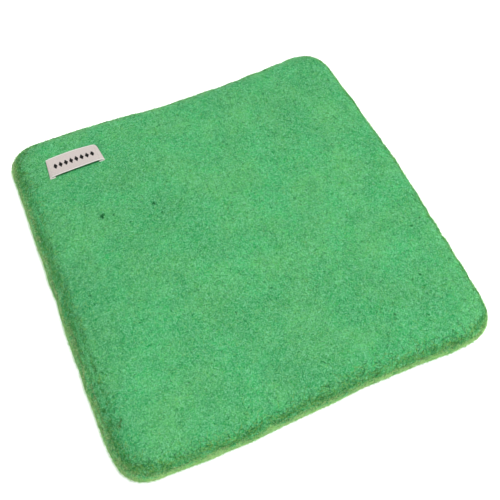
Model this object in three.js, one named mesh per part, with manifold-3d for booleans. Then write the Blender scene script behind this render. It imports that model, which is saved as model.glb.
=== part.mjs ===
// Needle felting mat: a thick square pad of felted wool.
// Two dyed felt covers, lapped together round the side, close over a stack of carded wool batts.
// A woven label lies on the top near the back left corner, sewn down by one thread at each end.
// Millimetres. +X runs along the label, +Y to the back edge and +Z up; the origin is the middle of
// the underside.

import * as THREE from 'three';
import { mergeVertices } from 'three/addons/utils/BufferGeometryUtils.js';
import loadManifold from 'manifold-3d';

// Plan of the pad. Felting shrinks the square unevenly: each corner is pulled a little to the right and
// to the back of its place, and each side swells out (+) or draws in (-) at its quarter points, taken
// anticlockwise round the pad as seen from above.
const MAT_WIDTH = 254;
const MAT_DEPTH = 254;
const FRONT_LEFT = { radius: 20, right: 0, back: 0.5 };
const FRONT_RIGHT = { radius: 23, right: 0.3, back: -2.6 };
const BACK_RIGHT = { radius: 21.5, right: -1.6, back: 0.6 };
const BACK_LEFT = { radius: 18, right: 0.6, back: 0 };
const FRONT_BOWS = [1.8, 0, -0.9];
const RIGHT_BOWS = [1.6, 3.1, 2];
const BACK_BOWS = [-3.4, -4.1, -0.5];
const LEFT_BOWS = [0.5, 0.6, 1.2];

// Section of the pad. The side is widest at its waist, rolls over to the top face and under to the base.
const RIM_HEIGHT = 22;
const WAIST_HEIGHT = 9.5;
const TOP_ROLL = 13;
const BASE_ROLL = 8;
const TOP_CROWN = 1.5;

// Felt covers: the top one's skirt laps over the bottom one's lip, from the seam up.
const COVER_WALL = 3;
const SEAM_HEIGHT = 6.5;
const LAP_HEIGHT = 4;

// Core of carded wool, in flat layers.
const BATT_COUNT = 6;

// Label: a ribbon with both ends folded under.
const LABEL_LENGTH = 38;
const LABEL_HEIGHT = 15;
const LABEL_CLOTH = 0.4;
const LABEL_FOLD = 6;
const LABEL_FOLD_GAP = 0.3;
const LABEL_FROM_LEFT = 24.7;
const LABEL_FROM_BACK = 23.4;
const LABEL_TURN_DEGREES = 0.8;

// Running stitches along each end of the label.
const THREAD_DIAMETER = 0.4;
const STITCH_LENGTH = 1.7;
const STITCH_SPACING = 1.5;
const STITCH_LEAN = 0.25;
const STITCH_COUNT = 4;
const STITCH_INSET = 2.2;

// Clearances between pieces that lie against each other, and round a thread in its hole.
const FIT_GAP = 0.3;
const THREAD_GAP = 0.15;

// Facets: points on a side and on a corner of the plan, steps on the skin's and the lining's roll, on a
// batt's edge, on a fold of the label and in one stitch, sides of a thread, and rings on a crowned face.
const SIDE_STEPS = 6;
const CORNER_STEPS = 5;
const SKIN_STEPS = 7;
const LINING_STEPS = 5;
const BATT_EDGE_STEPS = 3;
const FOLD_STEPS = 4;
const STITCH_STEPS = 10;
const THREAD_SIDES = 6;
const CROWN_SHARES = [0.6];

const wasm = await loadManifold();
wasm.setup();

// Materials, as the photograph shows them; the wool inside and the threads are undyed.
const greenFelt = new THREE.MeshStandardMaterial({ color: 0x5db573, roughness: 0.95, metalness: 0 });
const cardedWool = new THREE.MeshStandardMaterial({ color: 0xe8e0cd, roughness: 1, metalness: 0 });
const wovenTape = new THREE.MeshStandardMaterial({ color: 0xd9d3cc, roughness: 0.8, metalness: 0 });
const cottonThread = new THREE.MeshStandardMaterial({ color: 0xe6e1d6, roughness: 0.7, metalness: 0 });

// Plan outline: four gently bowed sides joined by round corners, anticlockwise, centred on its box.

const QUARTER = Math.PI / 2;
const halfWidth = MAT_WIDTH / 2;
const halfDepth = MAT_DEPTH / 2;

function cornerCurve(corner, signX, signY, startAngle) {
  const x = signX * (halfWidth - corner.radius) + corner.right;
  const y = signY * (halfDepth - corner.radius) + corner.back;
  return new THREE.EllipseCurve(x, y, corner.radius, corner.radius, startAngle, startAngle + QUARTER);
}

function sideCurve(cornerBefore, cornerAfter, bows) {
  const start = cornerBefore.getPoint(1);
  const end = cornerAfter.getPoint(0);
  const along = end.clone().sub(start).normalize();
  const outward = new THREE.Vector2(along.y, -along.x);
  const stations = bows.map((bow, i) => {
    const onLine = start.clone().lerp(end, (i + 1) / (bows.length + 1));
    return onLine.addScaledVector(outward, bow);
  });
  return new THREE.SplineCurve([start, ...stations, end]);
}

function samples(curve, steps) {
  return Array.from({ length: steps }, (_, i) => curve.getPoint(i / steps));
}

function planOutline() {
  const frontLeft = cornerCurve(FRONT_LEFT, -1, -1, 2 * QUARTER);
  const frontRight = cornerCurve(FRONT_RIGHT, 1, -1, 3 * QUARTER);
  const backRight = cornerCurve(BACK_RIGHT, 1, 1, 0);
  const backLeft = cornerCurve(BACK_LEFT, -1, 1, QUARTER);
  const points = [
    ...samples(sideCurve(frontLeft, frontRight, FRONT_BOWS), SIDE_STEPS),
    ...samples(frontRight, CORNER_STEPS),
    ...samples(sideCurve(frontRight, backRight, RIGHT_BOWS), SIDE_STEPS),
    ...samples(backRight, CORNER_STEPS),
    ...samples(sideCurve(backRight, backLeft, BACK_BOWS), SIDE_STEPS),
    ...samples(backLeft, CORNER_STEPS),
    ...samples(sideCurve(backLeft, frontLeft, LEFT_BOWS), SIDE_STEPS),
    ...samples(frontLeft, CORNER_STEPS),
  ];
  const middle = new THREE.Box2().setFromPoints(points).getCenter(new THREE.Vector2());
  return points.map((p) => p.sub(middle));
}

const outline = planOutline();

// A ring is the outline drawn in by an inset, shrunk to a share of itself and set at a height.
// A share of 0 is a single point in the middle.

function ringPoints({ inset, share, z }) {
  if (share === 0) {
    return [new THREE.Vector3(0, 0, z)];
  }
  const scaleX = share * (1 - inset / halfWidth);
  const scaleY = share * (1 - inset / halfDepth);
  return outline.map((p) => new THREE.Vector3(p.x * scaleX, p.y * scaleY, z));
}

// Closed solid through a list of rings, from the middle of its lower side, outward and up, to the
// middle of its upper side.
function loft(rings) {
  const rows = rings.map(ringPoints);
  const starts = [];
  let count = 0;
  for (const row of rows) {
    starts.push(count);
    count += row.length;
  }
  const vertex = (r, i) => starts[r] + (i % rows[r].length);
  const triangles = [];
  for (let r = 0; r + 1 < rows.length; r += 1) {
    for (let i = 0; i < outline.length; i += 1) {
      if (rows[r].length > 1) {
        triangles.push(vertex(r, i), vertex(r, i + 1), vertex(r + 1, i + 1));
      }
      if (rows[r + 1].length > 1) {
        triangles.push(vertex(r, i), vertex(r + 1, i + 1), vertex(r + 1, i));
      }
    }
  }
  const geometry = new THREE.BufferGeometry().setFromPoints(rows.flat());
  geometry.setIndex(triangles);
  return geometry;
}

// The side's section at a depth under the skin: two quarter ellipses that meet at the waist.
// Angle -90 degrees is the base's edge, 0 the waist and 90 degrees the top face's edge.

const topRise = (depth) => RIM_HEIGHT - WAIST_HEIGHT - depth;
const baseDrop = (depth) => WAIST_HEIGHT - depth;

function wallRing(depth, angle) {
  const roll = angle > 0 ? TOP_ROLL : BASE_ROLL;
  const height = angle > 0 ? topRise(depth) : baseDrop(depth);
  return {
    inset: roll - (roll - depth) * Math.cos(angle),
    share: 1,
    z: WAIST_HEIGHT + height * Math.sin(angle),
  };
}

function wallAngle(depth, z) {
  const rise = z - WAIST_HEIGHT;
  const height = rise > 0 ? topRise(depth) : baseDrop(depth);
  return Math.asin(THREE.MathUtils.clamp(rise / height, -1, 1));
}

function wallRun(depth, fromAngle, toAngle, steps) {
  return Array.from({ length: steps + 1 }, (_, i) =>
    wallRing(depth, THREE.MathUtils.lerp(fromAngle, toAngle, i / steps)));
}

function wallAtHeight(depth, z) {
  return { ...wallRing(depth, wallAngle(depth, z)), z };
}

// The crowned top face at a depth under the skin, from its middle out.
const crownRise = (share) => TOP_CROWN * (1 - share * share);

function crownRings(depth) {
  return [0, ...CROWN_SHARES].map((share) => (
    { inset: TOP_ROLL, share, z: RIM_HEIGHT - depth + crownRise(share) }));
}

// Height of the top face over a point of the plan.
const topFaceEdge = ringPoints({ inset: TOP_ROLL, share: 1, z: RIM_HEIGHT });

function topHeight(x, y) {
  const shares = topFaceEdge.map((a, i) => {
    const b = topFaceEdge[(i + 1) % topFaceEdge.length];
    return (x * (b.y - a.y) + y * (a.x - b.x)) / (a.x * b.y - a.y * b.x);
  });
  return RIM_HEIGHT + crownRise(Math.min(1, Math.max(...shares)));
}

// Solids joined and cut as closed meshes.

function toSolid(geometry) {
  const bare = geometry.clone();
  bare.deleteAttribute('normal');
  bare.deleteAttribute('uv');
  const merged = mergeVertices(bare);
  const vertProperties = new Float32Array(merged.attributes.position.array);
  const triVerts = new Uint32Array(merged.index.array);
  return new wasm.Manifold(new wasm.Mesh({ numProp: 3, vertProperties, triVerts }));
}

function cut(geometry, cutters) {
  const left = cutters.reduce((solid, cutter) => solid.subtract(toSolid(cutter)), toSolid(geometry));
  const { vertProperties, triVerts } = left.getMesh();
  const result = new THREE.BufferGeometry();
  result.setAttribute('position', new THREE.BufferAttribute(vertProperties, 3));
  result.setIndex(new THREE.BufferAttribute(triVerts, 1));
  return result;
}

// Felt covers. Skirt and lip share the wall's thickness, with a clearance between them.

const lapTop = SEAM_HEIGHT + LAP_HEIGHT;
const skirtDepth = (COVER_WALL - FIT_GAP) / 2;
const lipDepth = skirtDepth + FIT_GAP;

function topCover() {
  return loft([
    ...crownRings(COVER_WALL),
    ...wallRun(COVER_WALL, QUARTER, wallAngle(COVER_WALL, lapTop), LINING_STEPS).slice(0, -1),
    wallAtHeight(COVER_WALL, lapTop),
    wallAtHeight(skirtDepth, lapTop),
    wallAtHeight(skirtDepth, SEAM_HEIGHT),
    wallAtHeight(0, SEAM_HEIGHT),
    ...wallRun(0, wallAngle(0, SEAM_HEIGHT), QUARTER, SKIN_STEPS).slice(1),
    ...crownRings(0).reverse(),
  ]);
}

function bottomCover() {
  return loft([
    { inset: BASE_ROLL, share: 0, z: 0 },
    ...wallRun(0, -QUARTER, wallAngle(0, SEAM_HEIGHT), LINING_STEPS).slice(0, -1),
    wallAtHeight(0, SEAM_HEIGHT),
    wallAtHeight(lipDepth, SEAM_HEIGHT),
    wallAtHeight(lipDepth, lapTop),
    wallAtHeight(COVER_WALL, lapTop),
    ...wallRun(COVER_WALL, wallAngle(COVER_WALL, lapTop), -QUARTER, LINING_STEPS).slice(1),
    { inset: BASE_ROLL, share: 0, z: COVER_WALL },
  ]);
}

// Core batts, laid flat on each other from the bottom cover's floor to the top cover's ceiling. Their
// edges keep clear of the covers' walls, and the top one is crowned under the top cover.

const coreDepth = COVER_WALL + FIT_GAP;
const coreTop = RIM_HEIGHT - coreDepth;
const battCount = Math.round(BATT_COUNT);
const battThickness = (coreTop - COVER_WALL) / battCount;

function batt(index) {
  const low = COVER_WALL + index * battThickness;
  const high = index + 1 === battCount ? coreTop : low + battThickness;
  const lowAngle = wallAngle(coreDepth, low);
  const highAngle = wallAngle(coreDepth, high);
  const edge = wallRun(coreDepth, lowAngle, highAngle, BATT_EDGE_STEPS);
  edge[0].z = low;
  edge[BATT_EDGE_STEPS].z = high;
  const top = index + 1 === battCount
    ? crownRings(coreDepth).reverse()
    : [{ inset: 0, share: 0, z: high }];
  return loft([{ inset: 0, share: 0, z: low }, ...edge, ...top]);
}

// Label, in its own frame: X along it, Y across it, Z up from its underside.

const labelStack = 2 * LABEL_CLOTH + LABEL_FOLD_GAP;
const foldRadius = labelStack / 2;
const foldX = LABEL_LENGTH / 2 - foldRadius;
const tabX = LABEL_LENGTH / 2 - LABEL_FOLD;

function labelRibbon() {
  const innerRadius = LABEL_FOLD_GAP / 2;
  const side = new THREE.Shape();
  side.moveTo(tabX, 0);
  side.absarc(foldX, foldRadius, foldRadius, -QUARTER, QUARTER, false);
  side.absarc(-foldX, foldRadius, foldRadius, QUARTER, 3 * QUARTER, false);
  side.lineTo(-tabX, 0);
  side.lineTo(-tabX, LABEL_CLOTH);
  side.absarc(-foldX, foldRadius, innerRadius, 3 * QUARTER, QUARTER, true);
  side.absarc(foldX, foldRadius, innerRadius, QUARTER, -QUARTER, true);
  side.lineTo(tabX, LABEL_CLOTH);
  side.closePath();
  const ribbon = new THREE.ExtrudeGeometry(side, {
    depth: LABEL_HEIGHT,
    curveSegments: FOLD_STEPS,
    bevelEnabled: false,
  });
  ribbon.rotateX(QUARTER);
  ribbon.translate(0, LABEL_HEIGHT / 2, 0);
  return ribbon;
}

// A thread's path: it lies on the label for the length of a stitch, then leans down through the label to
// the middle of the top cover's felt and comes up again.
function stitchPath(x) {
  const over = labelStack + FIT_GAP + THREAD_DIAMETER / 2;
  const under = -FIT_GAP - COVER_WALL / 2;
  const pitch = STITCH_LENGTH + STITCH_SPACING;
  const stitches = Math.round(STITCH_COUNT);
  const points = [];
  for (let k = 0; k < stitches; k += 1) {
    const middle = (k - (stitches - 1) / 2) * pitch;
    const start = middle - STITCH_LENGTH / 2;
    const end = middle + STITCH_LENGTH / 2;
    points.push(new THREE.Vector3(x, start - STITCH_LEAN, under));
    points.push(new THREE.Vector3(x, start, (over + under) / 2));
    points.push(new THREE.Vector3(x, start + STITCH_LEAN, over));
    points.push(new THREE.Vector3(x, end - STITCH_LEAN, over));
    points.push(new THREE.Vector3(x, end, (over + under) / 2));
    points.push(new THREE.Vector3(x, end + STITCH_LEAN, under));
  }
  return new THREE.CatmullRomCurve3(points, false, 'centripetal');
}

function threadTube(path, diameter) {
  const section = new THREE.Shape();
  section.absarc(0, 0, diameter / 2, 0, 2 * Math.PI, false);
  return new THREE.ExtrudeGeometry(section, {
    steps: STITCH_STEPS * Math.round(STITCH_COUNT),
    curveSegments: THREAD_SIDES / 2,
    extrudePath: path,
    bevelEnabled: false,
  });
}

// The label's place: square to the top face under it, a little off the sides' direction.
function labelPlace() {
  const x = -halfWidth + LABEL_FROM_LEFT + LABEL_LENGTH / 2;
  const y = halfDepth - LABEL_FROM_BACK - LABEL_HEIGHT / 2;
  const slopeX = (topHeight(x + LABEL_LENGTH / 2, y) - topHeight(x - LABEL_LENGTH / 2, y)) / LABEL_LENGTH;
  const slopeY = (topHeight(x, y + LABEL_HEIGHT / 2) - topHeight(x, y - LABEL_HEIGHT / 2)) / LABEL_HEIGHT;
  const up = new THREE.Vector3(-slopeX, -slopeY, 1).normalize();
  const place = new THREE.Group();
  place.position.set(x, y, topHeight(x, y)).addScaledVector(up, FIT_GAP);
  place.quaternion.setFromUnitVectors(new THREE.Vector3(0, 0, 1), up);
  place.rotateZ(THREE.MathUtils.degToRad(LABEL_TURN_DEGREES));
  place.updateMatrixWorld();
  return place;
}

// Assembly.

function piece(name, geometry, material) {
  geometry.computeVertexNormals();
  const mesh = new THREE.Mesh(geometry, material);
  mesh.name = name;
  return mesh;
}

const mat = new THREE.Group();
const label = labelPlace();

const stitchX = LABEL_LENGTH / 2 - STITCH_INSET;
const stitchPaths = [stitchPath(-stitchX), stitchPath(stitchX)];
const threadHoles = stitchPaths.map((path) => threadTube(path, THREAD_DIAMETER + 2 * THREAD_GAP));
const coverHoles = threadHoles.map((hole) => hole.clone().applyMatrix4(label.matrixWorld));

mat.add(piece('bottom_felt_cover', bottomCover(), greenFelt));
for (let index = 0; index < battCount; index += 1) {
  mat.add(piece(`core_batt_${index + 1}`, batt(index), cardedWool));
}
mat.add(piece('top_felt_cover', cut(topCover(), coverHoles), greenFelt));

label.add(piece('woven_label', cut(labelRibbon(), threadHoles), wovenTape));
label.add(piece('left_label_thread', threadTube(stitchPaths[0], THREAD_DIAMETER), cottonThread));
label.add(piece('right_label_thread', threadTube(stitchPaths[1], THREAD_DIAMETER), cottonThread));
mat.add(label);

export default mat;
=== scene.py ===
# %% [markdown]
# # A needle felting mat
# A felting mat is the springy square that a felter works on: the barbed needle goes through the wool
# and sinks into the mat. This one has a skin of dyed felt above and below, a core of carded wool,
# and a small woven label near one corner. The lesson loads its solids as a frame that never moves,
# and dresses each of them as the wool or cloth that it really is.

# %% Load the frame
import math
import random

import bmesh
import bpy
from mathutils import Matrix, Quaternion, Vector, noise
from mathutils.bvhtree import BVHTree


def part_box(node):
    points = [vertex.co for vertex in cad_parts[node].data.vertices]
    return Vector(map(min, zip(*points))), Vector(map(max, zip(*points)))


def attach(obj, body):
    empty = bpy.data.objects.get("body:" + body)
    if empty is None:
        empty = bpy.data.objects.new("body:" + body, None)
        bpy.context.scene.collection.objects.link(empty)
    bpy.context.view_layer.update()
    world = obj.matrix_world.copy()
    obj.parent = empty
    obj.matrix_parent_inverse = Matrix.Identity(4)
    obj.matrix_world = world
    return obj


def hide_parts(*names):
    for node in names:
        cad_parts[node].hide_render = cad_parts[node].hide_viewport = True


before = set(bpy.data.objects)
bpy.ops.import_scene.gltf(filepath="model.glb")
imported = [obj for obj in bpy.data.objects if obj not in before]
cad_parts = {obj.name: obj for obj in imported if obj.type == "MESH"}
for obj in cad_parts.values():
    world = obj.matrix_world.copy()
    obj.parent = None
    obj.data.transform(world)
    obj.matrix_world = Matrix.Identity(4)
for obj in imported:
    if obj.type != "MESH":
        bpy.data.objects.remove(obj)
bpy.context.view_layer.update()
scene = bpy.context.scene
scene.view_settings.view_transform = "Standard"
MM = 0.001
print("solids loaded:", sorted(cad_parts))

# %% [markdown]
# ## The camera
# The mat is seen from the front and well above, turned a little, as on a shop's page. A camera can be
# turned by three angles, but a place to stand, a place to look at and a small roll are easier to read.

# %% Camera
CAMERA_AT = Vector((-93.79, -210.27, 431.43)) * MM
LOOK_AT = Vector((2.92, -12.00, 11.50)) * MM
CAMERA_ROLL = math.radians(2.01)
LENS_MM = 50.67

camera_data = bpy.data.cameras.new("camera")
camera_data.lens = LENS_MM
camera = bpy.data.objects.new("camera", camera_data)
scene.collection.objects.link(camera)
gaze = (LOOK_AT - CAMERA_AT).to_track_quat("-Z", "Y").to_matrix().to_4x4()
camera.matrix_world = Matrix.Translation(CAMERA_AT) @ gaze @ Matrix.Rotation(CAMERA_ROLL, 4, "Z")
scene.camera = camera
print("camera stands", round((LOOK_AT - CAMERA_AT).length, 3), "m away")

# %% [markdown]
# ## Writing shaders as sums
# A finish is a small network of nodes. Wiring it by hand hides the idea, so one class wraps a socket:
# adding or multiplying two of them adds a Math node, and `node` makes every other kind.


# %% Shader helper
class Shade:
    """One output socket of a node tree, which takes part in sums."""

    def __init__(self, tree, socket=None):
        self.tree = tree
        self.socket = socket

    def node(self, kind, settings=None, sockets=None, out=0):
        """Adds a node, sets it up, fills or links its sockets, and gives one of its outputs."""
        made = self.tree.nodes.new("ShaderNode" + kind)
        for name, value in (settings or {}).items():
            setattr(made, name, value)
        for name, value in (sockets or {}).items():
            if isinstance(value, Shade):
                self.tree.links.new(value.socket, made.inputs[name])
            else:
                made.inputs[name].default_value = value
        return Shade(self.tree, made.outputs[out])

    def math(self, operation, first, second=0.0):
        """A Math node on one or two values."""
        return self.node("Math", {"operation": operation}, {0: first, 1: second})

    def __add__(self, other):
        return self.math("ADD", self, other)

    def __radd__(self, other):
        return self.math("ADD", other, self)

    def __sub__(self, other):
        return self.math("SUBTRACT", self, other)

    def __rsub__(self, other):
        return self.math("SUBTRACT", other, self)

    def __mul__(self, other):
        return self.math("MULTIPLY", self, other)

    def __rmul__(self, other):
        return self.math("MULTIPLY", other, self)

    def __abs__(self):
        return self.math("ABSOLUTE", self)

    def part(self, axis):
        """One coordinate of a vector."""
        return self.node("SeparateXYZ", None, {0: self}, out=axis)

    def step(self, low, high):
        """0 below low, 1 above high and smooth between."""
        span = {"Value": self, "From Min": low, "From Max": high}
        return self.node("MapRange", {"interpolation_type": "SMOOTHSTEP"}, span)

    def mix(self, first, second):
        """The colour that lies this far from the first colour to the second."""
        settings = {"data_type": "RGBA"}
        # Inputs 6 and 7 and output 2 are the colour sockets of a Mix node.
        return self.node("Mix", settings, {0: self, 6: first, 7: second}, out=2)


print("sums that make nodes:", [name for name in vars(Shade) if name.startswith("__r")])

# %% [markdown]
# ## Starting a finish
# Screens store colours bent and shaders want them straight, so one function unbends them. Two more
# start a material and fill its shader's sockets by name.


# %% Finish helpers
def srgb(red, green, blue):
    """A colour as a screen shows it, 0 to 255, turned into the linear numbers that shaders use."""
    shares = [value / 255 for value in (red, green, blue)]
    linear = [s / 12.92 if s <= 0.04045 else ((s + 0.055) / 1.055) ** 2.4 for s in shares]
    return (*linear, 1.0)


def new_material(name):
    """An empty material, with its shader and a Shade to start sums from."""
    material = bpy.data.materials.new(name)
    material.use_nodes = True
    tree = material.node_tree
    shader = tree.nodes["Principled BSDF"]
    return material, shader, Shade(tree)


def feed(shader, **sockets):
    """Sets or links the shader's sockets, named with underscores."""
    for name, value in sockets.items():
        socket = shader.inputs[name.replace("_", " ")]
        if isinstance(value, Shade):
            value.tree.links.new(value.socket, socket)
        else:
            socket.default_value = value


print("a mid green in linear numbers:", [round(c, 3) for c in srgb(93, 181, 115)])

# %% [markdown]
# ## Floor and light
# A shop photograph of felt is lit softly from above, here a little from the right and the front, on a
# white table. The table throws light back up under the round edge, except close to the mat, which shades
# it. So the light is a wide lamp, a dim white sky and a floor that glows, which the camera sees nearly
# white, with the mat's shadow on it.

# %% Floor, sky and lamp
FLOOR_REACH = 4.0
FLOOR_DROP = 0.2 * MM
FLOOR_WHITE = 0.92
FLOOR_GLOW = 0.95
FLOOR_SHOWN = 0.87
FLOOR_SHADED = (0.125, 0.137)
SKY_STRENGTH = 0.15
LAMP_AT = Vector((1.04, -0.50, 2.98))
LAMP_WIDTH = 1.6
LAMP_WATTS = 91.0


def new_object(name, bm):
    """An object in the scene that has the shape of a bmesh."""
    mesh = bpy.data.meshes.new(name)
    bm.to_mesh(mesh)
    bm.free()
    made = bpy.data.objects.new(name, mesh)
    scene.collection.objects.link(made)
    return made


def camera_sees(shade):
    """1 for what the camera sees, directly or in a reflection or through glass, and 0 for light."""
    seen = [shade.node("LightPath", out=name) for name in ("Is Camera Ray", "Is Glossy Ray")]
    through = shade.node("LightPath", out="Is Transmission Ray")
    return shade.math("MINIMUM", seen[0] + seen[1] + through, 1.0)


def lay_floor():
    """A wide pale floor, just under the mat."""
    bm = bmesh.new()
    bmesh.ops.create_grid(bm, x_segments=1, y_segments=1, size=FLOOR_REACH)
    bmesh.ops.translate(bm, verts=bm.verts, vec=(0, 0, -FLOOR_DROP))
    floor = new_object("floor", bm)
    material, shader, start = new_material("floor_paper")
    feed(shader, Base_Color=(FLOOR_WHITE, FLOOR_WHITE, FLOOR_WHITE, 1), Roughness=1.0)
    feed(shader, Specular_IOR_Level=0.0, Emission_Color=(1, 1, 1, 1))
    place = start.node("TexCoord", out="Object")
    sideways = [abs(place.part(axis)) for axis in "XY"]
    glow = start.math("MAXIMUM", *sideways).step(*FLOOR_SHADED) * FLOOR_GLOW
    seen = camera_sees(start)
    feed(shader, Emission_Strength=seen * FLOOR_SHOWN + (1 - seen) * glow)
    floor.data.materials.append(material)


def light_scene():
    """A white sky that lights dimly, and one wide lamp above, to the right and a little to the front."""
    world = bpy.data.worlds.new("sky")
    world.use_nodes = True
    scene.world = world
    start = Shade(world.node_tree)
    seen = camera_sees(start)
    sky = world.node_tree.nodes["Background"]
    sky.inputs["Color"].default_value = (1, 1, 1, 1)
    strength = seen + (1 - seen) * SKY_STRENGTH
    world.node_tree.links.new(strength.socket, sky.inputs["Strength"])
    lamp_data = bpy.data.lights.new("lamp", "AREA")
    lamp_data.shape = "DISK"
    lamp_data.size = LAMP_WIDTH
    lamp_data.energy = LAMP_WATTS
    lamp = bpy.data.objects.new("lamp", lamp_data)
    facing_mat = LAMP_AT.to_track_quat("Z", "Y").to_matrix().to_4x4()
    lamp.matrix_world = Matrix.Translation(LAMP_AT) @ facing_mat
    scene.collection.objects.link(lamp)


lay_floor()
light_scene()
level = SKY_STRENGTH + LAMP_WATTS * LAMP_AT.normalized().z / (math.pi * LAMP_AT.length) ** 2
print("light on a level surface, where 1 shows a colour as written:", round(level, 2))

# %% [markdown]
# ## Patterns in wool
# Wool felt is a mat of fibres that were dyed before they were felted, so it is never one flat green. Noise
# gives the cloudy patterns. A folded noise, which peaks where the noise crosses its middle, draws fine
# worm-like strokes.

# %% Wool patterns
STROKES_PER_M = 520
STROKE_WARP = 2.5


def wool_noise(shade, place, scale, detail=2.0, warp=0.0, rough=0.5):
    """A cloudy pattern, so many clouds to the metre."""
    settings = {"noise_dimensions": "3D"}
    sockets = {"Vector": place, "Scale": scale, "Detail": detail, "Roughness": rough}
    return shade.node("TexNoise", settings, {**sockets, "Distortion": warp})


def strokes(shade, place):
    """Thin winding lines, 1 along their middle and 0 between them."""
    return 1 - abs(wool_noise(shade, place, STROKES_PER_M, warp=STROKE_WARP) - 0.5) * 2


def moved(shade, place, offset):
    """The same coordinates, slid along, so that a second pattern differs from the first."""
    return shade.node("Mapping", None, {"Vector": place, "Location": offset})


print("strokes lie about", round(1 / STROKES_PER_M / MM, 1), "mm apart")

# %% [markdown]
# ## The green felt's finish
# Teal and yellow-green fibres lie beside the main emerald, in broad clouds, in patches as wide as a finger
# and in strokes. The waist is painted paler in ragged stretches, as painted light thrown up from the white
# table. Deep in a crease the felt is painted darker, a painted shade that the mesh brings along as an
# attribute. The patterns use Object coordinates, so the two halves of the skin match along their seam.

# %% Felt finish
EMERALD = srgb(70, 208, 115)
DEEP_TEAL = srgb(34, 144, 77)
# Painted shade: felt deep in creases and under the label is darkened with this green
PAINTED_SHADE_GREEN = srgb(20, 100, 50)
PAINTED_SHADE_SHARE = 0.5
# Painted light: the waist is mixed towards this pale green, for light thrown up from the white table
PAINTED_LIGHT_GREEN = srgb(200, 241, 166)
# How many of each there are to the metre
PATCHES_PER_M = 38
CLOUDS_PER_M = 18
CLUMPS_PER_M = 85
GRAIN_PER_M = 900
TATTERS_PER_M = 60
STRETCHES_PER_M = 24
# The values between which a pattern goes from nothing to full, its share there, and its colour
FELT_DYES = {
    "patches": (0.36, 0.66, 0.95, srgb(106, 211, 112)),
    "clouds": (0.38, 0.64, 0.60, srgb(30, 150, 70)),
    "clumps": (0.35, 0.68, 0.44, DEEP_TEAL),
    "dark lines": (0.80, 0.99, 0.75, DEEP_TEAL),
    "pale lines": (0.84, 1.0, 0.85, srgb(150, 238, 180)),
    "grain": (0.45, 0.75, 0.35, DEEP_TEAL),
}
BROAD_OFFSET = (0.5, 0.1, 0.9)
PALE_OFFSET = (0.3, 0.7, 0.2)
STRETCH_RAMP = (0.34, 0.60)
# The heights between which the painted light on the waist begins and ends, and how ragged those edges are
RIM_ABOVE = (10.5 * MM, 15.5 * MM)
RIM_BELOW = (6.0 * MM, 9.0 * MM)
RIM_RAGGED = 11 * MM
RIM_LEAST = 0.45
LIT_WAIST_CLUMPS = 0.55
LIT_WAIST_LINES = 0.45
FELT_ROUGH = 0.86
GRAIN_BUMP = 0.5
LINE_BUMP = 0.35
FELT_BUMP = {"Strength": 0.55, "Distance": 0.5 * MM}


def painted_waist_light(start, place, broad):
    """Painted light: 1 along the waist and 0 elsewhere, with ragged edges, and fainter in some stretches.
    """
    tatters = wool_noise(start, place, TATTERS_PER_M, detail=3.0) - 0.5
    ragged = place.part("Z") + tatters * RIM_RAGGED
    stretch = wool_noise(start, broad, STRETCHES_PER_M).step(*STRETCH_RAMP)
    shown = RIM_LEAST + stretch * (1 - RIM_LEAST)
    return ragged.step(*RIM_BELOW) * (1 - ragged.step(*RIM_ABOVE)) * shown


def green_felt():
    """Patches, clouds, clumps and strokes of green, painted light at the waist, painted shade in creases.
    """
    material, shader, start = new_material("green_felt")
    place = start.node("TexCoord", out="Object")
    broad = moved(start, place, BROAD_OFFSET)
    patterns = {
        "patches": wool_noise(start, place, PATCHES_PER_M),
        "clouds": wool_noise(start, broad, CLOUDS_PER_M, detail=4.0, rough=0.65),
        "clumps": wool_noise(start, place, CLUMPS_PER_M, detail=3.0, warp=1.5),
        "dark lines": strokes(start, place),
        "pale lines": strokes(start, moved(start, place, PALE_OFFSET)),
        "grain": wool_noise(start, place, GRAIN_PER_M, detail=3.0, warp=1.0, rough=0.65),
    }
    colour = EMERALD
    shown = {}
    for name, (low, high, share, dye) in FELT_DYES.items():
        shown[name] = patterns[name].step(low, high)
        colour = (shown[name] * share).mix(colour, dye)
    # Painted light on the waist, broken by dark wool
    dark_wool = shown["clumps"] * LIT_WAIST_CLUMPS + shown["dark lines"] * LIT_WAIST_LINES
    lit_waist = dark_wool.mix(PAINTED_LIGHT_GREEN, EMERALD)
    colour = painted_waist_light(start, place, broad).mix(colour, lit_waist)
    # Painted shade: creases and the felt under the label are darkened by the attribute
    depth = start.node("Attribute", {"attribute_name": "crevice"}, out="Fac")
    colour = (depth * PAINTED_SHADE_SHARE).mix(colour, PAINTED_SHADE_GREEN)

    rough = FELT_ROUGH + patterns["grain"] * (1 - FELT_ROUGH)
    lines = shown["pale lines"] - shown["dark lines"]
    bumps = patterns["grain"] * GRAIN_BUMP + lines * LINE_BUMP
    normal = start.node("Bump", None, {**FELT_BUMP, "Height": bumps})
    feed(shader, Base_Color=colour, Roughness=rough, Normal=normal)
    feed(shader, Specular_IOR_Level=0.10, Sheen_Weight=0.34, Sheen_Roughness=0.24)
    feed(shader, Sheen_Tint=(1.0, 0.78, 0.50, 1))
    return material


felt = green_felt()
print("felt finish has", len(felt.node_tree.nodes), "nodes")

# %% [markdown]
# ## Measuring the mat's outline
# A felted square never comes out true: its sides bow a little and each corner has its own radius. The
# solids already hold that outline, so rays cast at the middle from all round measure it, and the looks
# follow it with nothing fitted by hand. Averaging neighbours takes the facets out.

# %% Outline
DIRECTIONS = 1440
AVERAGED = 5
FAR = 0.4
WELD = 0.01 * MM
WAIST = 9.5 * MM
HALF_SIDE = 127 * MM


def joined_copy(node):
    """A bmesh of one solid, with its loose triangles joined."""
    bm = bmesh.new()
    bm.from_mesh(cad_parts[node].data)
    bmesh.ops.remove_doubles(bm, verts=bm.verts, dist=WELD)
    return bm


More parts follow.
